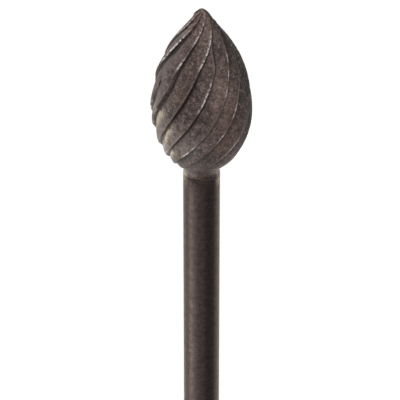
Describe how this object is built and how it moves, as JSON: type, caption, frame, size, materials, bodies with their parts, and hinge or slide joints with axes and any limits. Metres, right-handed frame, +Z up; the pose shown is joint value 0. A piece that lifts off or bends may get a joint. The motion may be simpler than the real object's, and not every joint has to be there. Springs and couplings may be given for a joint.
{
  "type": "acrylic trimming burr",
  "caption": "One-piece steel trimming burr: a pear-shaped head with right-hand helical teeth, a short narrow neck and a plain round shank.",
  "frame": {"origin": "centre of the bounding box's base, on the table it lies on", "axes": "+Y towards the tip of the head, +Z up, as it lies at rest on two cutting edges of the head and the shank's end"},
  "size_m": [0.0064, 0.0444, 0.0064],
  "materials": {
    "burr_steel": "dark, worn oxide skin with brighter edges"
  },
  "bodies": {
    "root": {"trimming_burr": "burr_steel"}
  },
  "joints": []
}
